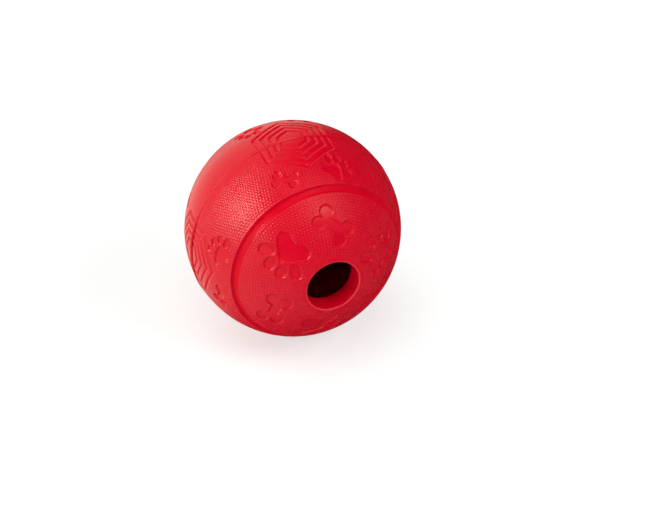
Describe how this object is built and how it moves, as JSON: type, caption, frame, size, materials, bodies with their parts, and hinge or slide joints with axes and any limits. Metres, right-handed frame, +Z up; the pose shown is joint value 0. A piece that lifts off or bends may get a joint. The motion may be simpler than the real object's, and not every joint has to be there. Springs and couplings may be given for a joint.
{
  "type": "treat dispensing ball",
  "caption": "Hollow red rubber dog ball with a round outlet, ring grooves, sunk paw and bone figures, and a labyrinth inside that lets treats out slowly as it rolls.",
  "frame": {"origin": "the point where the ball touches the floor, straight below its centre", "axes": "+Z up; the outlet's axis is level and the outlet faces -Y; the seam lies in the XZ plane"},
  "size_m": [0.091, 0.0884, 0.091],
  "materials": {
    "red_rubber": "moulded natural rubber, pebble grain, satin",
    "bond_rubber": "smooth squeezed-out rubber cement",
    "maze_rubber": "smooth moulded natural rubber"
  },
  "bodies": {
    "root": {"front_shell": "red_rubber", "rear_shell": "red_rubber", "seam_bond": "bond_rubber", "divider_disc": "maze_rubber", "front_vane_left": "maze_rubber", "front_vane_right": "maze_rubber", "rear_vane_upper": "maze_rubber", "rear_vane_lower": "maze_rubber"}
  },
  "joints": []
}
